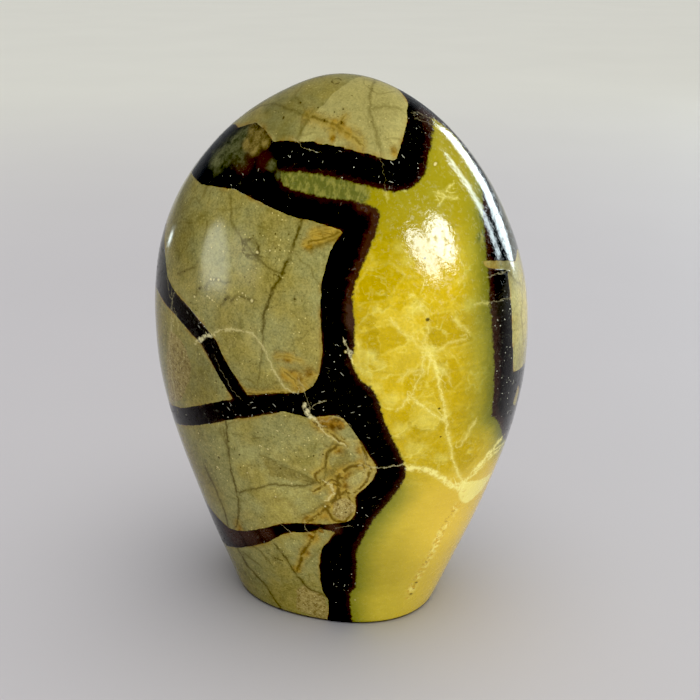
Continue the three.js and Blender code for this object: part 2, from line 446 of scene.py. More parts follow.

# Small round marks: across, up and radius in mm. Pits that the polish left open are painted dark as the
# shade inside them, grains are pale, and fossils show as rings.
PITS = on_faces(Patch, {
    CROWN: (
        (-9, -13.5, 0.35), (-0.5, -12, 0.22), (2, -14.5, 0.26), (-5.5, -10.6, 0.3), (4, -12.8, 0.22),
        (6, -12, 0.22), (6.4, -14.6, 0.3),
    ),
    FRONT: (
        (-6.5, 115, 0.26), (-0.5, 100, 0.34), (-27.6, 98.8, 0.34), (-19.6, 97.6, 0.4), (-33, 102, 0.3),
        (-17, 54.6, 0.32), (-5, 53, 0.3), (-20, 58, 0.26), (4.5, 58.6, 0.3), (7, 59.4, 0.26),
        (-24, 51.6, 0.34), (12.5, 42, 0.34), (10.5, 44.5, 0.26), (13.6, 44.6, 0.26), (31.8, 96.6, 0.5),
        (32.8, 95.8, 0.26), (30, 111, 0.3), (35.5, 73.5, 0.3), (36, 65.5, 0.28), (29, 14.5, 0.32),
        (27.5, 10, 0.32), (-9.2, 21.5, 0.3), (-7, 21.2, 0.3),
    ),
    BACK: ((-14, 110, 0.5), (2, 112, 0.4), (-6, 40, 0.5), (6, 50, 0.4), (24, 70, 0.5)),
    LEFT: ((4, 70, 0.4),),
})
GRAINS = on_faces(Patch, {
    FRONT: (
        (-24.2, 101.8, 0.36), (-27.4, 100.6, 0.26), (-14.6, 99.8, 0.3), (-29.4, 96.4, 0.34),
        (-23.6, 96.6, 0.34), (-5, 64.4, 0.26), (-16.2, 98, 0.3), (-12, 98.4, 0.5), (-25.2, 97.4, 0.3),
        (-21.8, 102.1, 0.4), (-11, 110.2, 0.4), (-7.6, 111, 0.3), (-10.5, 59, 0.3), (-8.2, 58.4, 0.34),
        (-2, 49, 0.34), (2, 54, 0.34), (-7, 43.6, 0.32), (-15, 49.4, 0.3), (-25, 48, 0.4),
        (7, 43.2, 0.3), (-2, 63.6, 0.3), (-5.6, 64.6, 0.26), (-30.6, 57, 0.34), (29.5, 131.4, 0.4),
        (13.2, 10, 0.3), (12.8, 88, 0.4),
    ),
    BACK: ((-18, 112, 0.4), (-2, 30, 0.4), (2, 46, 0.4)),
})
FOSSILS = on_faces(Patch, {
    CROWN: ((2, -4.8, 1.2),),
    FRONT: ((-13, 111, 2.2),),
    BACK: ((-4, 116, 1.6),),
})

# What a line's or mark's distance counts as where none is near, and the half width there, in mm.
FAR = 9.0
USUAL_HALF_WIDTH = 0.2
# The furthest that offsets are stored: from a line in mm, and from a mark in shares of its radius.
LINE_REACH = 2.0
MARK_REACH = 36.0
# How round a body's corners are where its outline meets the end of its depth, in mm.
ROUNDING = 4.0
# How far a face's lines and patches reach past the stone's middle, in mm.
FACE_OVERLAP = 3.0

# Flat lights at one distance in metres. Each has its angle round from the stone's front, its angle
# up, its size in metres, its share of its group's brightness, its colour, lean and shape.
LIGHT_DISTANCE = 1.2
WHITE = (0.92, 0.99, 0.98)
COOL = (0.82, 0.96, 1)
WARM = (0.95, 1, 0.86)
Lamp = namedtuple("Lamp", "name azimuth elevation size share colour lean shape")
WINDOWS = (
    Lamp("Window right", 51, 24, (0.42, 0.36), 1.15, WHITE, 0, "ELLIPSE"),
    Lamp("Window left", 34, 19, (0.24, 0.46), 0.85, WHITE, -54, "ELLIPSE"),
)
STRIPS = (
    Lamp("Inner strip", 117, 25, (0.17, 0.72), 1.4, COOL, 0, "RECTANGLE"),
    Lamp("Outer strip", 150, 12, (0.4, 0.7), 1.1, COOL, 51, "RECTANGLE"),
)
PANELS = (
    Lamp("Left panel", -54, 5, (0.34, 0.5), 1, WARM, -40, "ELLIPSE"),
    Lamp("Left panel, near", -38, 8, (0.26, 0.4), 0.35, WARM, -40, "ELLIPSE"),
    Lamp("Left spark", -105, 0, (0.07, 0.05), 4, COOL, 0, "ELLIPSE"),
)
OVERHEAD_PLACE = (104, 83)
OVERHEAD_SPREAD = math.radians(64)
OVERHEAD_COLOUR = (1.0, 0.99, 0.97)
ROOM_COLOUR = (0.93, 0.96, 1.0, 1)

# The camera's place in metres, its turn to the left and its tilt down. The view is this share of
# its distance wide, and what is darker than the black level shows as black.
CAMERA_PLACE = (0.0806, -0.2476, 0.1812)
CAMERA_TURN = 0.3
CAMERA_PITCH = math.radians(22.3)
SENSOR_WIDTH = 36
VIEW_WIDTH = 0.7
BLACK_LEVEL = 0.035


def tint(red, green, blue):
    """A colour given as screen values from 0 to 255, as the linear colour that shaders use."""
    shares = [value / 255 for value in (red, green, blue)]
    return tuple(s / 12.92 if s <= 0.04045 else ((s + 0.055) / 1.055) ** 2.4 for s in shares)


# What all colours, and all lengths, among the settings have in common.
COLOUR = {"size": 3, "min": 0, "max": 1, "subtype": "COLOR"}
LENGTH = {"subtype": "DISTANCE", "unit": "LENGTH"}


class StoneSettings(bpy.types.PropertyGroup):
    """Sizes and colours of the nodule."""

    foot_arris: bpy.props.FloatProperty(
        name="Foot arris", description="Radius of the rounded edge round the foot",
        default=1.5 * MM, min=0.2 * MM, max=5 * MM, **LENGTH)
    segments: bpy.props.IntProperty(
        name="Segments", description="Corners round each ring before smoothing",
        default=44, min=12, max=64)
    rings: bpy.props.IntProperty(
        name="Rings", description="Rings between the foot and the crown before smoothing",
        default=26, min=8, max=40)
    smoothing: bpy.props.IntProperty(
        name="Smoothing", description="How many times the rings are subdivided",
        default=3, min=1, max=3)
    unevenness: bpy.props.FloatProperty(
        name="Unevenness", description="Depth of the hollows left by polishing by hand",
        default=0.5 * MM, min=0.0, max=2 * MM, **LENGTH)
    matrix: bpy.props.FloatVectorProperty(
        name="Matrix", description="Main colour of the clay-limestone blocks",
        default=tint(150, 136, 72), **COLOUR)
    matrix_grey: bpy.props.FloatVectorProperty(
        name="Grey matrix", description="Cooler colour that clouds the blocks",
        default=tint(148, 141, 88), **COLOUR)
    lining: bpy.props.FloatVectorProperty(
        name="Lining", description="Colour of the dark aragonite that lines the veins",
        default=tint(8, 5, 3), **COLOUR)
    lining_edge: bpy.props.FloatVectorProperty(
        name="Lining edge", description="Red-brown that shows where the lining is thin",
        default=tint(65, 45, 37), **COLOUR)
    calcite: bpy.props.FloatVectorProperty(
        name="Calcite", description="Main colour of the yellow calcite",
        default=tint(197, 166, 38), **COLOUR)
    calcite_gold: bpy.props.FloatVectorProperty(
        name="Golden calcite", description="Deeper colour of the clear patches in the calcite",
        default=tint(184, 154, 30), **COLOUR)
    calcite_pale: bpy.props.FloatVectorProperty(
        name="Pale calcite", description="Colour of the cloudy patches in the calcite",
        default=tint(216, 194, 80), **COLOUR)
    calcite_green: bpy.props.FloatVectorProperty(
        name="Green calcite", description="Colour of the calcite where the dark lining shows through",
        default=tint(120, 122, 50), **COLOUR)
    rust: bpy.props.FloatVectorProperty(
        name="Rust", description="Colour of the iron stains",
        default=tint(168, 134, 54), **COLOUR)
    polish: bpy.props.FloatProperty(
        name="Polish", description="Roughness of the polished surface",
        default=0.07, min=0.02, max=0.6)


class StageSettings(bpy.types.PropertyGroup):
    """Floor, lights and camera."""

    floor_size: bpy.props.FloatProperty(
        name="Floor size", description="Length of the square floor's side",
        default=12.0, min=1.0, **LENGTH)
    floor_colour: bpy.props.FloatVectorProperty(
        name="Floor", description="Colour of the floor",
        default=tint(202, 199, 201), **COLOUR)
    floor_far: bpy.props.FloatVectorProperty(
        name="Far floor", description="Colour of the floor well away from the nodule",
        default=tint(222, 221, 212), **COLOUR)
    overhead: bpy.props.FloatProperty(
        name="Overhead", description="Strength of the broad soft light from above",
        default=2.0, min=0.0)
    window: bpy.props.FloatProperty(
        name="Window", description="Brightness of the two soft windows at the front right",
        default=17.0, min=0.0)
    strips: bpy.props.FloatProperty(
        name="Strips", description="Brightness of the tall lights to the right",
        default=9.0, min=0.0)
    panel: bpy.props.FloatProperty(
        name="Panel", description="Brightness of the panels to the left",
        default=4.2, min=0.0)
    room: bpy.props.FloatProperty(
        name="Room", description="Brightness of the room all round",
        default=0.34, min=0.0)


# ---------------------------------------------------------------- the stone's shape


# One ring of the stone's skin, in metres: its level is its height above the floor.
Ring = namedtuple("Ring", "half_width half_depth lean level")


def through_stations(values, shares):
    """Smooth values through evenly spaced stations, with the ends carried on in a straight line."""
    values = np.array(values, float)
    places = np.clip(shares, 0, 1) * (len(values) - 1)
    first = np.minimum(places.astype(int), len(values) - 2)
    part = places - first
    carried = np.concatenate([[2 * values[0] - values[1]], values, [2 * values[-1] - values[-2]]])
    before, start, end, after = (carried[first + step] for step in range(4))
    bend = 2 * before - 5 * start + 4 * end - after
    twist = 3 * (start - end) + after - before
    return start + 0.5 * part * (end - before + part * (bend + part * twist))


def held_out(values):
    """Values pushed out by what subdividing will draw them in, with the ends kept."""
    pushed = values.copy()
    pushed[1:-1] -= (values[:-2] - 2 * values[1:-1] + values[2:]) / 6
    return pushed


def stone_rings(settings):
    """The stone's rings from its foot to its crown, without the point at the top."""
    arris = settings.foot_arris
    shares = np.linspace(0, SMALLEST_RING, settings.rings)
    # The sides begin where the arris ends.
    shares[0] = 2 / math.pi * math.asin(arris / STONE_HEIGHT)
    widths = through_stations(HALF_WIDTHS, shares) * MM
    depths = through_stations(HALF_DEPTHS, shares) * MM
    leans = through_stations(LEANS, shares) * MM
    levels = STONE_HEIGHT * np.sin(shares * math.pi / 2)
    inward = arris * (1 - math.sin(math.pi / 4))
    flat = Ring(widths[0] - arris, depths[0] - arris, 0.0, 0.0)
    edge = Ring(widths[0] - inward, depths[0] - inward, 0.0, inward)
    sides = [held_out(column) for column in (widths, depths, leans, levels)]
    return [flat, edge, *map(Ring, *sides)]


def section_reach(angle):
    """How far the rounded-off oval section reaches at an angle, as a share of a circle."""
    power = SECTION_POWER
    return (abs(math.cos(angle)) ** power + abs(math.sin(angle)) ** power) ** (-1 / power)


def select_vertices(mesh, wanted):
    """In object mode, leaves selected just the vertices with these numbers."""
    for part in (mesh.polygons, mesh.edges):
        part.foreach_set("select", np.zeros(len(part), bool))
    chosen = np.zeros(len(mesh.vertices), bool)
    chosen[wanted] = True
    mesh.vertices.foreach_set("select", chosen)


def square_off_ring(piece):
    """Turns the round ring into the stone's fuller oval, four matching corners at a time."""
    places = [vertex.co for vertex in piece.data.vertices]
    angles = [math.atan2(abs(place.y), abs(place.x)) for place in places]
    for angle in sorted(set(round(angle, 4) for angle in angles)):
        reach = section_reach(angle)
        alike = [i for i, other in enumerate(angles) if abs(other - angle) < 1e-3]
        select_vertices(piece.data, alike)
        bpy.ops.object.mode_set(mode="EDIT")
        bpy.ops.transform.resize(value=(reach, reach, 1), center_override=(0, 0, 0))
        bpy.ops.object.mode_set(mode="OBJECT")


def grow_ring(before, after):
    """Extrudes the selected ring to the next one's level, lean, width and depth."""
    rise = (after.lean - before.lean, 0, after.level - before.level)
    bpy.ops.mesh.extrude_region_move(TRANSFORM_OT_translate={"value": rise})
    scale = (after.half_width / before.half_width, after.half_depth / before.half_depth, 1)
    bpy.ops.transform.resize(value=scale, center_override=(after.lean, 0, after.level))


def close_ring():
    """Closes the selected ring to a point at its middle."""
    bpy.ops.mesh.extrude_region_move()
    bpy.ops.mesh.merge(type="CENTER")


def start_ring(segments, ring):
    """Adds the foot's ring, wide enough that smoothing draws it in to its size, in edit mode."""
    across = 1 / (2 / 3 + math.cos(2 * math.pi / segments) / 3)
    bpy.ops.object.select_all(action="DESELECT")
    bpy.ops.mesh.primitive_circle_add(vertices=segments, radius=1, fill_type="NOTHING")
    piece = bpy.context.object
    piece.name = "stone"
    square_off_ring(piece)
    bpy.ops.object.mode_set(mode="EDIT")
    bpy.ops.mesh.select_mode(type="VERT")
    bpy.ops.mesh.select_all(action="SELECT")
    bpy.ops.transform.resize(value=(ring.half_width * across, ring.half_depth * across, 1))
    return piece


def lift_crown(piece):
    """Moves the crown's point to the stone's full height, from edit mode to object mode."""
    bpy.ops.object.mode_set(mode="OBJECT")
    tip = max(piece.data.vertices, key=lambda vertex: vertex.co.z)
    select_vertices(piece.data, [tip.index])
    bpy.ops.object.mode_set(mode="EDIT")
    bpy.ops.transform.translate(value=(0, 0, STONE_HEIGHT - tip.co.z))
    bpy.ops.object.mode_set(mode="OBJECT")


def selected_half_width(piece):
    """Half width of the ring that is selected in edit mode."""
    piece.update_from_editmode()
    return max(vertex.co.x for vertex in piece.data.vertices if vertex.select)


def fill_foot(piece, segments, half_width):
    """Closes the foot's flat with smaller and smaller rings."""
    select_vertices(piece.data, range(segments))
    bpy.ops.object.mode_set(mode="EDIT")
    for share in FOOT_RINGS:
        bpy.ops.mesh.extrude_region_move()
        scale = half_width * share / selected_half_width(piece)
        bpy.ops.transform.resize(value=(scale, scale, 1), center_override=(0, 0, 0))
    close_ring()


def raise_stone(settings):
    """Builds the stone ring by ring from its flat foot, and closes the crown and the foot."""
    rings = stone_rings(settings)
    piece = start_ring(settings.segments, rings[0])
    for before, after in zip(rings, rings[1:]):
        grow_ring(before, after)
    close_ring()
    lift_crown(piece)
    fill_foot(piece, settings.segments, rings[0].half_width)
    bpy.ops.mesh.select_all(action="SELECT")
    bpy.ops.mesh.normals_make_consistent(inside=False)
    bpy.ops.object.mode_set(mode="OBJECT")
    return piece


def apply_modifier(piece, kind, **values):
    """Adds one modifier to the piece, sets it and applies it."""
    bpy.ops.object.modifier_add(type=kind)
    modifier = piece.modifiers[-1]
    for name, value in values.items():
        setattr(modifier, name, value)
    bpy.ops.object.modifier_apply(modifier=modifier.name)


def places_of(piece):
    """The piece's vertices in mm."""
    places = np.zeros(len(piece.data.vertices) * 3)
    piece.data.vertices.foreach_get("co", places)
    return places.reshape(-1, 3) / MM


def wear_surface(piece, settings):
    """Gives the smooth stone the slight hollows of polishing by hand."""
    heights = places_of(piece)[:, 2]
    depths = np.clip((heights - HOLLOWS_FROM) / (HOLLOWS_FULL - HOLLOWS_FROM), 0, 1)
    above = piece.vertex_groups.new(name="above the foot")
    for number in np.flatnonzero(depths):
        above.add([int(number)], float(depths[number]), "REPLACE")
    hollows = bpy.data.textures.new("Polishing hollows", type="CLOUDS")
    hollows.noise_scale = HOLLOW_SIZE * MM
    hollows.noise_depth = 1
    apply_modifier(piece, "DISPLACE", texture=hollows, texture_coords="LOCAL",
                   strength=settings.unevenness, mid_level=0.5, vertex_group=above.name)
    piece.vertex_groups.clear()


# ---------------------------------------------------------------- where the veins run


def seen_on(places, face):
    """The places as seen on a face: across and up."""
    return places[:, (face.across, face.up)]


def on_own_side(places, face):
    """True where a place is on the face's own side of the stone."""
    middle = STONE_HEIGHT / MM / 2 if face.deep == 2 else 0
    return places[:, face.deep] * face.toward > middle * face.toward - FACE_OVERLAP


def from_segment(points, start, end):
    """Offsets of points from a segment: their distance, and the side they lie on."""
    start = np.array(start, float)
    along = np.array(end, float) - start
    offset = points - start
    share = np.clip(offset @ along / (along @ along), 0, 1)
    gap = np.linalg.norm(offset - share[:, None] * along, axis=1)
    side = np.where(along[0] * offset[:, 1] - along[1] * offset[:, 0] < 0, -1.0, 1.0)
    return gap, side


def outline_distance(points, outline):
    """Distance of points to a closed outline, negative inside it."""
    nearest = np.full(len(points), np.inf)
    inside = np.zeros(len(points), bool)
    for start, end in zip(outline, outline[1:] + outline[:1]):
        nearest = np.minimum(nearest, from_segment(points, start, end)[0])
        spans = (start[1] > points[:, 1]) != (end[1] > points[:, 1])
        slope = (end[0] - start[0]) / ((end[1] - start[1]) or 1)
        inside ^= spans & (points[:, 0] < start[0] + (points[:, 1] - start[1]) * slope)
    return np.where(inside, -nearest, nearest)


def body_distance(places, body):
    """Distance of places to a prism, negative inside it."""
    points = seen_on(places, body.face)
    deep = places[:, body.face.deep]
    low, high = sorted((body.face.outside, body.reach))
    outline = outline_distance(points, body.outline) + ROUNDING
    depth = np.maximum(low - deep, deep - high) + ROUNDING
    corner = np.hypot(np.maximum(outline, 0), np.maximum(depth, 0))
    return corner + np.minimum(np.maximum(outline, depth), 0) - ROUNDING


def line_fields(places, lines):
    """Each place's signed offset from the nearest line, its distance and the line's half width."""
    offset = np.full(len(places), FAR)
    nearest = np.full(len(places), FAR)
    width = np.full(len(places), USUAL_HALF_WIDTH)
    for line in lines:
        points = seen_on(places, line.face)
        shown = on_own_side(places, line.face)
        for start, end in zip(line.points, line.points[1:]):
            gap, side = from_segment(points, start, end)
            closer = shown & (gap < nearest)
            nearest = np.where(closer, gap, nearest)
            offset = np.where(closer, gap * side, offset)
            width = np.where(closer, line.half_width, width)
    return np.stack([np.clip(offset, -LINE_REACH, LINE_REACH), nearest, width], axis=1)


def patch_strength(places, patch):
    """How strongly one soft round patch shows at each place, from 0 to 1."""
    points = seen_on(places, patch.face)
    gap = np.linalg.norm(points - np.array((patch.across, patch.up)), axis=1)
    strength = np.exp(-((gap / patch.radius) ** 2))
    return np.where(on_own_side(places, patch.face), strength, 0)


def patch_field(places, patches):
    """How strongly any of the patches shows at each place."""
    return np.max([patch_strength(places, patch) for patch in patches], axis=0)


def mark_field(places, marks):
    """Each place's offset from the middle of the nearest mark, in shares of the mark's radius."""
    field = np.full((len(places), 3), FAR)
    nearest = np.full(len(places), np.inf)
    for mark in marks:
        points = seen_on(places, mark.face)
        offset = (points - np.array((mark.across, mark.up))) / mark.radius
        gap = np.linalg.norm(offset, axis=1)
        closer = on_own_side(places, mark.face) & (gap < nearest)
        nearest[closer] = gap[closer]
        field[closer, :2] = offset[closer]
        field[closer, 2] = 0
    return np.clip(field, -MARK_REACH, MARK_REACH)


def tone_and_painted_light_field(places, tones):
    """How much lighter or darker the stone is painted at each place, painted shade and a painted
    reflection included.
    """
    return np.sum([tone.change * patch_strength(places, tone) for tone in tones], axis=0)


def bodies_distance(places, bodies):
    """Distance of places to the nearest of several prisms, negative inside."""
    return np.min([body_distance(places, body) for body in bodies], axis=0)


def made_wavy(places):
    """The places pushed about in waves behind the middle, so that bodies end unevenly there.

    The waves are a few mm high, of several lengths, and begin further back on the right.
    """
    x, y, z = places.T
    share = np.clip((y - WAVES_FROM - x / 10) / WAVES_REACH, 0, 1)
    rightward = 1.6 * np.sin(z / 6.3 + 1) + 0.9 * np.sin(y / 2.9) + 0.6 * np.sin(z / 2.1 + x / 9)
    back = 3.0 * np.sin(z / 8.5 + x / 30) + 1.4 * np.sin(z / 3.7 + 2)
    upward = 1.8 * np.sin(y / 5.1 + x / 7) + 1.3 * np.sin(x / 4.3 + 2) + 0.6 * np.sin(y / 1.9 + x / 3)
    return places + share[:, None] * np.stack([rightward, back, upward], axis=1)


def calcite_distance(places, matrix):
    """Distance of places to the calcite, negative inside it.

    At the back, the lining's thickness and where the calcite begins vary by a mm or two.
    """
    front = bodies_distance(places, CALCITE_BODIES.values())
    front = np.maximum(front, -body_distance(places, RIGHT_LINING))
    x, y, z = places.T
    swell = np.sin(x / 9 + 1) * np.sin(z / 13) * BACK_LINING_CHANGE
    uneven = 1.3 * np.sin(z / 4.1 + 1) + 0.7 * np.sin(z / 1.7)
    back = np.maximum(BACK_LINING + swell - matrix, BACK_CALCITE_FROM + uneven - y)
    return np.minimum(front, back)


def store(piece, name, values):
    """Writes one attribute of the piece's vertices: a number or three for each."""
    kind, key = ("FLOAT", "value") if values.ndim == 1 else ("FLOAT_VECTOR", "vector")
    attribute = piece.data.attributes.new(name, kind, "POINT")
    attribute.data.foreach_set(key, np.ascontiguousarray(values, np.float32).ravel())


def map_veins(piece):
    """Stores where blocks, calcite, lines and stains lie, for the finish to read."""
    places = places_of(piece)
    wavy = made_wavy(places)
    matrix = bodies_distance(wavy, MATRIX_BLOCKS.values())
    store(piece, "matrix_edge", matrix)
    store(piece, "calcite_edge", calcite_distance(wavy, matrix))
    for name, bodies in (("gold_edge", GOLD_FACETS), ("pale_and_reflection_edge", PALE_PARTS_AND_PAINTED_REFLECTION),
                         ("dark_edge", DARK_PARTS), ("chalk_edge", CHALKY_PARTS)):
        store(piece, name, bodies_distance(places, bodies))
    for name, lines in (("hairlines", DARK_HAIRLINES), ("threads", PALE_THREADS),
                        ("rusty", RUSTY_VEINS)):
        store(piece, name, line_fields(places, lines))
    for name, patches in STAINS.items():
        store(piece, name, patch_field(places, patches))
    for name, marks in (("pits", PITS), ("grains", GRAINS), ("fossils", FOSSILS)):
        store(piece, name, mark_field(places, marks))
    # The stored tone includes painted shade and a painted reflection.
    store(piece, "tone", tone_and_painted_light_field(places, TONES_AND_PAINTED_LIGHT))


# ---------------------------------------------------------------- the finish


class Wire:
    """One output socket of a finish's nodes, which sums and products can be written with."""

    def __init__(self, finish, socket):
        self.finish = finish
        self.socket = socket

    def math(self, operation, first, second=0.0):
        """One maths node on two numbers or sockets."""
        return self.finish.node("ShaderNodeMath", {"operation": operation}, {0: first, 1: second})

    def __add__(self, other):
        return self.math("ADD", self, other)

    def __radd__(self, other):
        return self.math("ADD", other, self)

    def __sub__(self, other):
        return self.math("SUBTRACT", self, other)

    def __rsub__(self, other):
        return self.math("SUBTRACT", other, self)

    def __mul__(self, other):
        return self.math("MULTIPLY", self, other)

    def __rmul__(self, other):
        return self.math("MULTIPLY", other, self)

    def __truediv__(self, other):
        return self.math("DIVIDE", self, other)

    def __rtruediv__(self, other):
        return self.math("DIVIDE", other, self)

    def __abs__(self):
        return self.math("ABSOLUTE", self)


class Finish:
    """A material being made from nodes."""

    def __init__(self, name):
        self.material = bpy.data.materials.new(name)
        self.material.use_nodes = True
        self.tree = self.material.node_tree
        self.tree.nodes.clear()
        self.place = self.node("ShaderNodeTexCoord", output="Object")

    def node(self, kind, settings=None, values=None, output=0):
        """Adds a node: its settings first, then the values or links of its sockets."""
        made = self.tree.nodes.new(kind)
        for name, value in (settings or {}).items():
            setattr(made, name, value)
        for key, value in (values or {}).items():
            if isinstance(value, Wire):
                self.tree.links.new(value.socket, made.inputs[key])
            else:
                made.inputs[key].default_value = value
        return Wire(self, made.outputs[output]) if made.outputs else None

    def attribute(self, name, output="Fac"):
        """What the piece's vertices store under a name: a number, or with "Vector" all three."""
        return self.node("ShaderNodeAttribute", {"attribute_name": name}, output=output)

    def parts(self, vector):
        """A vector's or colour's three numbers."""
        split = self.node("ShaderNodeSeparateXYZ", None, {0: vector})
        return [Wire(self, socket) for socket in split.socket.node.outputs]

    def stretched(self, factors, place=None):
        """Coordinates multiplied along each axis, which are the object's own unless given."""
        values = {0: place or self.place, 1: factors}
        return self.node("ShaderNodeVectorMath", {"operation": "MULTIPLY"}, values)

    def moved(self, amount, size):
        """Object coordinates pushed about by noise of one size, in mm."""
        values = {"Vector": self.place, "Scale": MM_IN_METRE / size, "Detail": 2.0}
        push = self.node("ShaderNodeTexNoise", None, values, output="Color")
        centred = self.node("ShaderNodeVectorMath", {"operation": "SUBTRACT"},
                            {0: push, 1: (0.5, 0.5, 0.5)})
        scaled = self.node("ShaderNodeVectorMath", {"operation": "SCALE"},
                           {0: centred, "Scale": amount * MM})
        return self.node("ShaderNodeVectorMath", {"operation": "ADD"}, {0: self.place, 1: scaled})

    def noise(self, size, detail=3.0, roughness=0.55, place=None):
        """Soft noise from 0 to 1 with patches of about this size in mm."""
        values = {"Vector": place or self.place, "Scale": MM_IN_METRE / size, "Detail": detail,
                  "Roughness": roughness}
        return self.node("ShaderNodeTexNoise", None, values)

    def cells(self, size, feature="F1", output="Distance", place=None):
        """Cells of about this size in mm: the distance in them, or a colour for each."""
        settings = {"feature": feature}
        values = {"Vector": place or self.place, "Scale": MM_IN_METRE / size}
        return self.node("ShaderNodeTexVoronoi", settings, values, output)

    def turned(self, angle, place):
        """Coordinates turned by an angle in degrees about the way the broad face looks."""
        values = {"Vector": place, "Axis": (0.0, 1.0, 0.0), "Angle": math.radians(angle)}
        return self.node("ShaderNodeVectorRotate", {"rotation_type": "AXIS_ANGLE"}, values)

    def dots(self, spacing, radius, share, factors=(1.0, 1.0, 1.0), angle=0.0):
        """Dots of this radius in mm, in a share of the cells of this spacing, drawn out along an axis."""
        place = self.turned(angle, self.moved(radius * 2, 1))
        near = self.cells(spacing, place=self.stretched(factors, place))
        chance = self.parts(Wire(self, near.socket.node.outputs["Color"]))[0]
        edge = radius / spacing
        return self.step(near, edge, edge * 0.6) * self.step(chance, 1 - share, 1.02 - share)

    def mark(self, name):
        """Distance from the nearest mark's middle, in shares of its radius."""
        return self.node("ShaderNodeVectorMath", {"operation": "LENGTH"},
                         {0: self.attribute(name, "Vector")}, output="Value")

    def sharp(self, size, low, high, detail=3.0, roughness=0.6, place=None):
        """Noise spread out to plain 0 and plain 1, with a soft change between."""
        return self.step(self.noise(size, detail, roughness, place), low, high)

    def step(self, value, start, end):
        """0 before start and 1 past end, with a soft change between, either way round."""
        values = {"Value": value, "From Min": start, "From Max": end}
        return self.node("ShaderNodeMapRange", {"interpolation_type": "SMOOTHSTEP"}, values)

    def limit(self, value):
        """A number kept between 0 and 1."""
        return self.node("ShaderNodeClamp", None, {"Value": value})

    def mix(self, factor, first, second, blend="MIX"):
        """Mixes two colours, which are the node's sockets 6 and 7 and its output 2."""
        values = {0: factor, 6: opaque(first), 7: opaque(second)}
        settings = {"data_type": "RGBA", "blend_type": blend}
        return self.node("ShaderNodeMix", settings, values, output=2)

    def shade(self, colour, brightness):
        """A colour made lighter or darker by a number that varies."""
        grey = self.node("ShaderNodeCombineColor", None, {0: brightness, 1: brightness, 2: brightness})
        return self.mix(1.0, colour, grey, blend="MULTIPLY")


def opaque(colour):
    """A plain colour with its alpha, or a link as it is."""
    return colour if isinstance(colour, Wire) else (*colour[:3], 1.0)


# Colours of the clay-limestone blocks.
MATRIX_TAN = tint(172, 156, 92)
MATRIX_OLIVE = tint(112, 103, 46)
MATRIX_PALE_AND_PAINTED_REFLECTION = tint(180, 168, 104)
MATRIX_DARK = tint(118, 102, 46)
MATRIX_RIM = tint(146, 112, 44)
DARK_GRAIN = tint(78, 64, 26)
PALE_GRAIN = tint(218, 200, 126)
FAINT_CRACK = tint(96, 82, 36)
HAIRLINE = tint(66, 54, 22)
HAIRLINE_SHADOW = tint(100, 88, 40)
FOSSIL_RING = tint(76, 64, 26)

# Colours of the stains in the blocks.
RUST_DARK = tint(112, 82, 28)
RUST_BORDER = tint(184, 160, 78)
RUST_CORE = tint(84, 62, 20)
OCHRE_DARK = tint(84, 56, 18)
OCHRE = tint(150, 110, 38)
CHALK_DARK = tint(108, 86, 42)
CHALK = tint(190, 170, 108)
CHALK_DOT = tint(226, 210, 150)

# Colours in the dark lining.
LINING_SEAM = tint(76, 50, 22)
LINING_FLECK = tint(200, 198, 178)
LINING_DASH = tint(176, 174, 156)
LINING_SMUDGE = tint(112, 112, 92)
MOSS_DARK = tint(56, 58, 32)
MOSS = tint(108, 108, 72)
MURK_DARK = tint(92, 80, 42)
MURK = tint(158, 138, 78)

# Colours in the calcite.
CALCITE_GLOW = tint(226, 210, 104)
CALCITE_WISP = tint(234, 220, 116)
CALCITE_WAX = tint(194, 178, 78)
CALCITE_DOT = tint(140, 108, 24)
CALCITE_SPARK = tint(234, 220, 124)
CALCITE_UPPER = tint(134, 126, 36)
CALCITE_HONEY = tint(226, 184, 68)
CALCITE_WHITE = tint(240, 228, 136)
CALCITE_DEEP = tint(58, 64, 30)
FIBRE_DARK = tint(90, 94, 50)
FIBRE = tint(134, 130, 68)
CRUMB_DARK = tint(196, 150, 46)
CRUMB = tint(240, 224, 132)
CRUMB_SEAM = tint(140, 96, 24)

# Colours of the pale threads in each of the three, and of the small round marks.
BLOCK_THREAD = tint(208, 192, 130)
CALCITE_THREAD = tint(240, 226, 136)
LINING_THREAD = tint(218, 206, 156)
GRAIN_RING = tint(92, 78, 34)
GRAIN = tint(216, 200, 136)
# Painted shade inside the open pits.
PIT_SHADE = tint(58, 44, 16)


def line_masks(finish, name, wander):
    """Where the thin lines of one attribute show, the halo round them, and how far they are."""
    offset, nearest, width = finish.parts(finish.attribute(name, "Vector"))
    across = abs(offset + (finish.noise(2.4, 4, 0.75) - 0.5) * wander)
    ends = finish.step(nearest, 1.5, 0.8)
    swelling = width * (finish.noise(1.3, 2) * 1.6 + 0.25)
    core = finish.step(across, swelling * 1.5, swelling * 0.2) * ends * finish.step(width, 0.04, 0.4)
    return core, finish.step(across, width * 2 + 0.6, 0.0) * ends, nearest


def clouded_matrix(finish, settings):
    """Olive clay-limestone clouded with grey, tan and darker olive, and its pale and dark parts; the pale
    part on the crown is a painted reflection.
    """
    colour = finish.mix(finish.sharp(15, 0.36, 0.64, 4), settings.matrix, settings.matrix_grey)
    tan = finish.sharp(5, 0.5, 0.68, 4, 0.65)
    colour = finish.mix(tan * 0.32, colour, MATRIX_TAN)
    olive = finish.sharp(6.5, 0.5, 0.7, 4, 0.65)
    colour = finish.mix(olive * 0.4, colour, MATRIX_OLIVE)
    ragged = finish.noise(1.6, 3) - 0.5
    # Of the pale parts, the one on the crown is a painted reflection.
    pale = finish.step(finish.attribute("pale_and_reflection_edge") + ragged, 0.2, -0.2)
    colour = finish.mix(pale * 0.7, colour, MATRIX_PALE_AND_PAINTED_REFLECTION)
    dark = finish.step(finish.attribute("dark_edge") + ragged * 2, 0.5, -0.6)
    return finish.mix(dark * 0.55, colour, MATRIX_DARK)


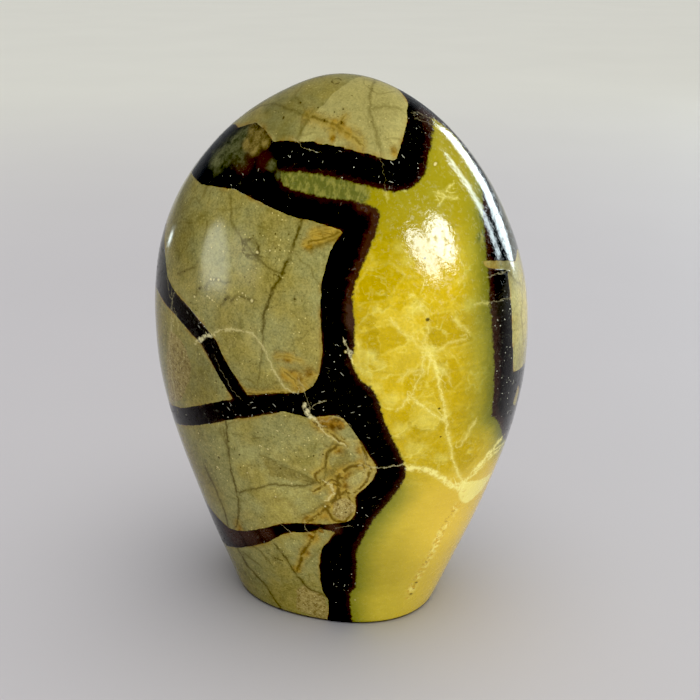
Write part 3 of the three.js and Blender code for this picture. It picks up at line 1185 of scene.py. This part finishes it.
def grained(finish, colour, coarse):
    """Mottles the blocks, streaks them upright and gives each shattered piece a tone of its own."""
    mottle = finish.sharp(1.7, 0.3, 0.7, 4, 0.7) - 0.5
    grain = finish.noise(0.55, 2, 0.75) - 0.5
    upright = finish.noise(1.8, 1, place=finish.stretched((1.0, 1.0, 0.1))) - 0.5
    pieces = finish.cells(12, output="Color", place=finish.moved(6, 8))
    piece_tone = finish.parts(pieces)[0] - 0.5
    varied = (mottle * 0.24 + grain * 1.3) * coarse + upright * 0.26 + piece_tone * 0.14
    return finish.shade(colour, 0.95 + varied)


def speckled(finish, colour, coarse):
    """Adds dark and pale grains to the blocks, crowded in places, and faint cracks."""
    crowded = finish.sharp(7, 0.44, 0.58, 3) * coarse
    dark_dots = finish.dots(1.5, 0.26, 0.45)
    colour = finish.mix(dark_dots * (0.25 + crowded * 0.6), colour, DARK_GRAIN)
    pale_dots = finish.dots(1.2, 0.23, 0.45)
    colour = finish.mix(pale_dots * (0.2 + crowded * 0.75), colour, PALE_GRAIN)
    crack = finish.cells(15, "DISTANCE_TO_EDGE", place=finish.moved(9, 11))
    faint = finish.step(crack, 0.03, 0.002) * finish.sharp(9, 0.46, 0.6, 2)
    return finish.mix(faint * 0.35, colour, FAINT_CRACK)


def rusted(finish, settings, colour):
    """Adds iron stains and stained cracks with golden borders to the blocks."""
    ragged = finish.noise(2.4, 4, 0.65) - 0.5
    streaky = finish.sharp(2.2, 0.36, 0.64, 4, 0.65)
    vein, border, nearest = line_masks(finish, "rusty", 1.2)
    wash = finish.step(finish.attribute("rust") + ragged * 1.1, 0.1, 1.1)
    beside = finish.step(nearest + ragged * 4, 2.4, 0.0)
    stain = finish.mix(streaky, RUST_DARK, settings.rust)
    colour = finish.mix(finish.limit(wash * 0.85 + beside * 0.5), colour, stain)
    colour = finish.mix(border * 0.6, colour, RUST_BORDER)
    colour = finish.mix(vein * finish.sharp(1.6, 0.3, 0.5, 3) * 0.85, colour, RUST_CORE)
    ochre = finish.step(finish.attribute("ochre") + ragged * 0.7, 0.3, 0.6)
    return finish.mix(ochre * 0.8, colour, finish.mix(streaky, OCHRE_DARK, OCHRE))


def chalky(finish, colour):
    """Adds crumbly chalk-coloured parts and the rings of fossils to the blocks."""
    ragged = finish.noise(2.4, 4, 0.65) - 0.5
    chalk = finish.step(finish.attribute("chalk_edge") + ragged * 2.4, 0.3, -0.3)
    crumbs = finish.mix(finish.sharp(1.0, 0.34, 0.66, 5, 0.85), CHALK_DARK, CHALK)
    crumbs = finish.mix(finish.dots(0.9, 0.2, 0.5) * 0.8, crumbs, CHALK_DOT)
    colour = finish.mix(chalk * 0.85, colour, crumbs)
    fossil = finish.mark("fossils") + (finish.noise(1.1, 2) - 0.5) * 0.8
    ring = finish.step(abs(fossil - 0.9), 0.3, 0.08) * finish.sharp(1.4, 0.36, 0.5, 1)
    return finish.mix(ring * 0.7, colour, FOSSIL_RING)


def block_colour(finish, settings, matrix, height):
    """The clay-limestone blocks with their grain, stains and dark hairlines."""
    coarse = 1 - finish.step(height, 126 * MM, 134 * MM) * 0.35
    colour = grained(finish, clouded_matrix(finish, settings), coarse)
    colour = speckled(finish, colour, coarse)
    rim = finish.step(matrix, -1.2, 0.1) * finish.sharp(6, 0.42, 0.62, 2)
    colour = finish.mix(rim * 0.6, colour, MATRIX_RIM)
    colour = chalky(finish, rusted(finish, settings, colour))
    crack, shadow, _ = line_masks(finish, "hairlines", 2.2)
    colour = finish.mix(shadow * 0.4, colour, HAIRLINE_SHADOW)
    return finish.mix(crack * finish.sharp(3, 0.28, 0.5, 3) * 0.75, colour, HAIRLINE)


def flecked(finish, colour):
    """Adds short pale dashes and flecks to the lining where it is dusty, and smudges."""
    crowded = finish.step(finish.attribute("dust") + finish.noise(5, 3) * 0.9, 0.38, 0.85)
    flecks = finish.dots(1.3, 0.19, 0.35) * crowded
    colour = finish.mix(flecks * 0.9, colour, LINING_FLECK)
    dashes = 0.0
    for angle in (-42, -12, 24, 78):
        dashes = finish.dots(1.3, 0.17, 0.42, (0.2, 0.6, 1.0), angle) + dashes
    colour = finish.mix(finish.limit(dashes) * crowded * 0.62, colour, LINING_DASH)
    smudge = finish.sharp(0.9, 0.56, 0.74, 4, 0.8) * crowded
    return finish.mix(smudge * 0.45, colour, LINING_SMUDGE)


def murky(finish, colour):
    """Adds grey-green and ochre clouds to the lining."""
    ragged = (finish.noise(3, 4, 0.65) - 0.5) * 0.9
    mottle = finish.sharp(1.8, 0.34, 0.66, 4, 0.7)
    moss = finish.step(finish.attribute("moss") + ragged, 0.15, 1.0)
    colour = finish.mix(moss * 0.85, colour, finish.mix(mottle, MOSS_DARK, MOSS))
    ochre = finish.step(finish.attribute("ochre") + ragged * 0.6, 0.25, 0.9)
    return finish.mix(ochre * 0.85, colour, finish.mix(mottle, MURK_DARK, MURK))


def lining_colour(finish, settings, matrix, calcite):
    """The dark lining: near black, red-brown where it thins out, flecked and clouded in places."""
    ragged = finish.noise(1.6, 4, 0.65) - 0.5
    thin = finish.step(calcite + ragged * 3, 2.6, 0.0) * 0.6
    brown = finish.step(finish.attribute("brown"), 0.1, 0.6)
    brown = brown * finish.step(calcite + ragged * 3, 4.0, 0.2)
    red = finish.step(finish.attribute("maroon") + ragged * 0.5, 0.1, 0.9)
    edge = finish.limit(thin + brown * 0.9 + red * 0.8)
    colour = finish.mix(edge, settings.lining, settings.lining_edge)
    seam = finish.step(matrix + ragged, 0.8, 0.1)
    colour = finish.mix(seam * finish.sharp(6, 0.44, 0.6, 2) * 0.4, colour, LINING_SEAM)
    return murky(finish, flecked(finish, colour))


def shattered_calcite(finish, settings, place, clear, wobble):
    """Cloudy calcite broken into crystals with clear golden facets, and each crystal's tone."""
    clouds = 0.35 + finish.sharp(12, 0.36, 0.62, 3) * clear * 0.65
    colour = finish.mix(clouds, settings.calcite_gold, settings.calcite)
    lumps = finish.sharp(3.4, 0.4, 0.68, 4, 0.65, place)
    colour = finish.mix(lumps * clear * 0.28, colour, settings.calcite_pale)
    shattered = finish.moved(4, 3)
    crystal, paler, _ = finish.parts(finish.cells(9, output="Color", place=shattered))
    colour = finish.mix(finish.step(paler, 0.6, 0.64) * clear * 0.2, colour, settings.calcite_pale)
    facet = finish.attribute("gold_edge") + wobble * 0.9
    colour = finish.mix(finish.step(facet, 0.3, -0.3) * 0.8, colour, settings.calcite_gold)
    outline = finish.step(abs(facet - 0.4), 0.5, 0.0) * finish.sharp(2, 0.42, 0.58, 2)
    glow = finish.step(finish.attribute("glow") + (finish.noise(2, 4, 0.7) - 0.5) * 1.3, 0.25, 1.1)
    colour = finish.mix(finish.limit(glow * 0.45 + outline * 0.2), colour, CALCITE_GLOW)
    ridge = finish.step(abs(finish.noise(7, 3, 0.6, place) - 0.5), 0.03, 0.0)
    wisps = ridge * finish.sharp(5, 0.48, 0.62, 2)
    crackle = finish.cells(9, "DISTANCE_TO_EDGE", place=shattered)
    web = finish.step(crackle, 0.05, 0.0) * finish.limit(finish.sharp(6, 0.5, 0.64, 2) + glow)
    strength = finish.limit(wisps * 0.7 + web) * clear * 0.36
    return finish.mix(strength, colour, CALCITE_WISP), (crystal - 0.5) * clear


def grained_calcite(finish, colour, place, clear, tone):
    """Varies the calcite's brightness finely, and adds brown dots and pale sparks."""
    level = finish.noise(1.5, 2, 0.6, finish.stretched((0.3, 0.3, 1.3))) - 0.5
    fine = finish.noise(0.8, 3, 0.7, place) - 0.5
    cloudy = finish.noise(9, 3) - 0.5
    varied = level * 0.24 + fine * clear * 0.6 + cloudy * 0.24 + tone * 0.16
    colour = finish.shade(colour, 0.965 + varied)
    colour = finish.mix(finish.dots(2.6, 0.22, 0.14) * 0.45, colour, CALCITE_DOT)
    sparks = finish.dots(1.7, 0.2, 0.3, (0.6, 0.6, 1.4)) * clear
    return finish.mix(sparks * 0.4, colour, CALCITE_SPARK)


def green_rims(finish, settings, colour, calcite, rightward, waxy):
    """Lets the dark lining show green through the calcite's rims, most of all on the right."""
    right_side = finish.step(rightward, 26 * MM, 44 * MM) * (1 - waxy)
    reach = 0.8 + waxy * 7.0 + right_side * 8.6
    inward = (calcite + (finish.noise(3, 3) - 0.5) * 1.6) / reach
    greenish = 0.3 + finish.limit(right_side + waxy) * 0.55
    colour = finish.mix(finish.step(inward, -1.0, 0.05) * greenish, colour, settings.calcite_green)
    deep = finish.step(inward, -0.4, 0.1) * (right_side * 0.6 + waxy * 0.22)
    return finish.mix(deep, colour, CALCITE_DEEP)


def calcite_colour(finish, settings, calcite):
    """Yellow calcite: shattered and clear in the middle, waxy near the foot, green at its rims."""
    rightward, _, height = finish.parts(finish.place)
    place = finish.moved(5, 7)
    wobble = finish.noise(1.6, 3) - 0.5
    waxy = finish.step(height, 58 * MM, 46 * MM)
    clear = 1 - waxy * 0.8
    colour, tone = shattered_calcite(finish, settings, place, clear, wobble)
    colour = finish.mix(waxy * 0.6, colour, CALCITE_WAX)
    colour = grained_calcite(finish, colour, place, clear, tone)
    upper = finish.step(height, 100 * MM, 128 * MM)
    colour = finish.mix(upper * 0.8, colour, CALCITE_UPPER)
    honey = finish.step(rightward, 18 * MM, 40 * MM) * waxy
    colour = finish.mix(honey * 0.55, colour, CALCITE_HONEY)
    whitish = finish.step(finish.attribute("pale_and_reflection_edge") + wobble * 1.2, 0.3, -0.3)
    colour = finish.mix(whitish * 0.7, colour, CALCITE_WHITE)
    colour = green_rims(finish, settings, colour, calcite, rightward, waxy)
    green = finish.step(finish.attribute("green") + wobble * 0.5, 0.1, 0.6)
    fibres = finish.sharp(0.9, 0.4, 0.66, 2, place=finish.stretched((1.0, 1.0, 0.16)))
    return finish.mix(green * 0.9, colour, finish.mix(fibres, FIBRE_DARK, FIBRE))


def crumbled(finish, colour, crumbly):
    """Adds the crumbly stained cracks to the calcite."""
    seam, crumbs, _ = line_masks(finish, "rusty", 1.4)
    crumb = finish.mix(finish.sharp(1.4, 0.44, 0.56, 3), CRUMB_DARK, CRUMB)
    broad = finish.sharp(4.5, 0.38, 0.56, 3)
    colour = finish.mix(crumbs * crumbly * broad * 0.7, colour, crumb)
    return finish.mix(seam * finish.sharp(1.0, 0.57, 0.63, 3) * 0.6, colour, CRUMB_SEAM)


def pitted(finish, colour):
    """Adds the pale grains with a dark ring, and the dark pits, painted as the shade inside them."""
    grain = finish.mark("grains") + (finish.noise(0.8, 2) - 0.5) * 1.4
    colour = finish.mix(finish.step(grain, 2.0, 1.2) * 0.25, colour, GRAIN_RING)
    colour = finish.mix(finish.step(grain, 1.2, 0.4) * 0.8, colour, GRAIN)
    # The pits are painted dark as the shade inside the small holes.
    pit = finish.step(finish.mark("pits") + (finish.noise(0.7, 2) - 0.5) * 1.6, 1.3, 0.5)
    return finish.mix(pit * 0.85, colour, PIT_SHADE)


def surface_bump(finish):
    """The blocks' fine tooth, and the cleavage of the calcite and its lining."""
    stony = finish.step(finish.attribute("matrix_edge"), 0.1, -0.1)
    tooth = finish.noise(0.6, 1) * 0.008 * stony
    cleaved = finish.noise(2.0, 3, 0.65) * 0.06 * (1 - stony)
    values = {"Strength": 1.0, "Distance": MM, "Height": tooth + cleaved}
    return finish.node("ShaderNodeBump", None, values, output="Normal")


def polished_stone(settings):
    """The one finish of the whole stone, which reads the mapped veins."""
    finish = Finish("Polished septarian stone")
    height = finish.parts(finish.place)[2]
    matrix = finish.attribute("matrix_edge") + (finish.noise(2.4, 4, 0.6) - 0.5) * 0.9
    calcite = finish.attribute("calcite_edge") + (finish.noise(1.0, 4, 0.7) - 0.5) * 1.7
    in_matrix = finish.step(matrix, 0.1, -0.1)
    in_calcite = finish.step(calcite, 0.3, -0.3)
    thread, bloom, _ = line_masks(finish, "threads", 2.8)
    crumbly = finish.sharp(0.9, 0.32, 0.52, 3, 0.7)
    threads = thread * crumbly
    block = block_colour(finish, settings, matrix, height)
    block = finish.mix(bloom * 0.12 + threads * 0.9, block, BLOCK_THREAD)
    yellow = crumbled(finish, calcite_colour(finish, settings, calcite), crumbly)
    yellow = finish.mix(bloom * 0.18 + threads * 0.7, yellow, CALCITE_THREAD)
    dark = lining_colour(finish, settings, matrix, calcite)
    dark = finish.mix(threads * 0.95, dark, LINING_THREAD)
    colour = finish.mix(in_matrix, finish.mix(in_calcite, dark, yellow), block)
    # The stored tone darkens and lightens the colour, with painted shade and a painted reflection among
    # it.
    colour = pitted(finish, finish.shade(colour, 1 + finish.attribute("tone")))
    broken = finish.sharp(1.3, 0.52, 0.64, 4, 0.8) * (1 - in_matrix)
    roughness = settings.polish + in_matrix * 0.05 + finish.noise(1.8, 2) * 0.04 + broken * 0.34
    shader = finish.node("ShaderNodeBsdfPrincipled", None, {
        "Base Color": colour, "Roughness": roughness, "Normal": surface_bump(finish), "IOR": 1.53})
    finish.node("ShaderNodeOutputMaterial", None, {"Surface": shader})
    return finish.material


# ---------------------------------------------------------------- the stage


def floor_finish(settings):
    """Plain matt floor, a little paler far off."""
    finish = Finish("Pale floor")
    away = finish.node("ShaderNodeVectorMath", {"operation": "LENGTH"}, {0: finish.place}, "Value")
    colour = finish.mix(finish.step(away, 0.25, 1.2), settings.floor_colour, settings.floor_far)
    mottled = finish.shade(colour, 0.97 + finish.noise(180, 2) * 0.06)
    shader = finish.node("ShaderNodeBsdfPrincipled", None, {"Base Color": mottled, "Roughness": 0.75})
    finish.node("ShaderNodeOutputMaterial", None, {"Surface": shader})
    return finish.material


def aim_light(azimuth, elevation):
    """Which way a light stands from the stone. Azimuth 0 is the stone's front, 90 its right side."""
    around, rise = math.radians(azimuth), math.radians(elevation)
    return Vector((math.sin(around) * math.cos(rise), -math.cos(around) * math.cos(rise),
                   math.sin(rise)))


def flat_light(lamp, brightness):
    """One flat light that faces the middle of the stone, leaning by its angle."""
    toward = aim_light(lamp.azimuth, lamp.elevation)
    place = Vector((0, 0, STONE_HEIGHT / 2)) + toward * LIGHT_DISTANCE
    bpy.ops.object.light_add(type="AREA", location=place)
    light = bpy.context.object
    light.name = lamp.name
    turn = toward.to_track_quat("Z", "Y") @ Quaternion((0, 0, 1), math.radians(-lamp.lean))
    light.rotation_euler = turn.to_euler()
    light.data.shape = lamp.shape
    light.data.size, light.data.size_y = lamp.size
    area = lamp.size[0] * lamp.size[1] * (math.pi / 4 if lamp.shape == "ELLIPSE" else 1)
    light.data.energy = math.pi * area * lamp.share * brightness
    light.data.color = lamp.colour
    return light


def keep_off(light, thing):
    """Keeps a light's rays off one thing."""
    unlit = bpy.data.collections.new(light.name + " keeps off")
    unlit.objects.link(thing)
    unlit.collection_objects[0].light_linking.link_state = "EXCLUDE"
    light.light_linking.receiver_collection = unlit


def overhead_light(strength):
    """One very broad soft light from above, which leaves no highlight of its own."""
    bpy.ops.object.light_add(type="SUN", location=(0, 0, 2))
    light = bpy.context.object
    light.name = "Overhead"
    light.rotation_euler = aim_light(*OVERHEAD_PLACE).to_track_quat("Z", "Y").to_euler()
    light.data.angle = OVERHEAD_SPREAD
    light.data.energy = strength
    light.data.color = OVERHEAD_COLOUR
    light.visible_glossy = False


def light_stone(settings, floor):
    """The soft windows, which keep off the floor, and what the polish only mirrors."""
    for lamp in WINDOWS:
        keep_off(flat_light(lamp, settings.window), floor)
    for lamps, brightness in ((STRIPS, settings.strips), (PANELS, settings.panel)):
        for lamp in lamps:
            flat_light(lamp, brightness).visible_diffuse = False
    overhead_light(settings.overhead)


def light_room(brightness):
    """An even, slightly cool room all round."""
    world = bpy.data.worlds.new("Room")
    world.use_nodes = True
    bpy.context.scene.world = world
    background = world.node_tree.nodes["Background"].inputs
    background["Color"].default_value = ROOM_COLOUR
    background["Strength"].default_value = brightness


def place_camera():
    """The camera stands to the front right and looks down at the stone."""
    bpy.ops.object.camera_add(location=CAMERA_PLACE)
    camera = bpy.context.object
    camera.name = "Camera"
    camera.rotation_euler = (math.pi / 2 - CAMERA_PITCH, 0, CAMERA_TURN)
    camera.data.sensor_width = SENSOR_WIDTH
    camera.data.lens = SENSOR_WIDTH / VIEW_WIDTH
    camera.data.clip_start = 10 * MM
    bpy.context.scene.camera = camera


def deepen_blacks(view):
    """Shows colours plainly, except that the darkest go to black."""
    view.view_transform = "Standard"
    view.use_curve_mapping = True
    view.curve_mapping.black_level = (BLACK_LEVEL, BLACK_LEVEL, BLACK_LEVEL)
    view.curve_mapping.update()


class NODULE_OT_stone(bpy.types.Operator):
    """Model the polished septarian nodule"""

    bl_idname = "nodule.stone"
    bl_label = "Make the nodule"

    def execute(self, context):
        settings = context.scene.nodule_stone
        piece = raise_stone(settings)
        apply_modifier(piece, "SUBSURF", levels=settings.smoothing, render_levels=settings.smoothing)
        wear_surface(piece, settings)
        map_veins(piece)
        bpy.ops.object.shade_smooth()
        piece.data.materials.append(polished_stone(settings))
        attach(piece, "root")
        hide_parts(NODE)
        return {"FINISHED"}


class NODULE_OT_stage(bpy.types.Operator):
    """Set up the floor, the lights and the camera"""

    bl_idname = "nodule.stage"
    bl_label = "Set the stage"

    def execute(self, context):
        settings = context.scene.nodule_stage
        bpy.ops.object.select_all(action="DESELECT")
        bpy.ops.mesh.primitive_plane_add(size=settings.floor_size)
        floor = bpy.context.object
        floor.name = "floor"
        floor.data.materials.append(floor_finish(settings))
        light_stone(settings, floor)
        light_room(settings.room)
        place_camera()
        deepen_blacks(context.scene.view_settings)
        return {"FINISHED"}


class NODULE_PT_panel(bpy.types.Panel):
    """Settings and buttons for the nodule and its stage"""

    bl_label = "Septarian Nodule"
    bl_idname = "NODULE_PT_panel"
    bl_space_type = "VIEW_3D"
    bl_region_type = "UI"
    bl_category = "Nodule"

    def draw(self, context):
        layout = self.layout
        for settings, button in ((context.scene.nodule_stone, NODULE_OT_stone),
                                 (context.scene.nodule_stage, NODULE_OT_stage)):
            for name in settings.__annotations__:
                layout.prop(settings, name)
            layout.operator(button.bl_idname)


CLASSES = (StoneSettings, StageSettings, NODULE_OT_stone, NODULE_OT_stage, NODULE_PT_panel)


def register():
    """Adds the settings, the operators and the panel."""
    for item in CLASSES:
        bpy.utils.register_class(item)
    bpy.types.Scene.nodule_stone = bpy.props.PointerProperty(type=StoneSettings)
    bpy.types.Scene.nodule_stage = bpy.props.PointerProperty(type=StageSettings)


def unregister():
    """Takes away what register added."""
    del bpy.types.Scene.nodule_stage
    del bpy.types.Scene.nodule_stone
    for item in reversed(CLASSES):
        bpy.utils.unregister_class(item)


def main():
    """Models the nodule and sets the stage."""
    register()
    bpy.ops.nodule.stone()
    bpy.ops.nodule.stage()


if __name__ == "__main__":
    main()
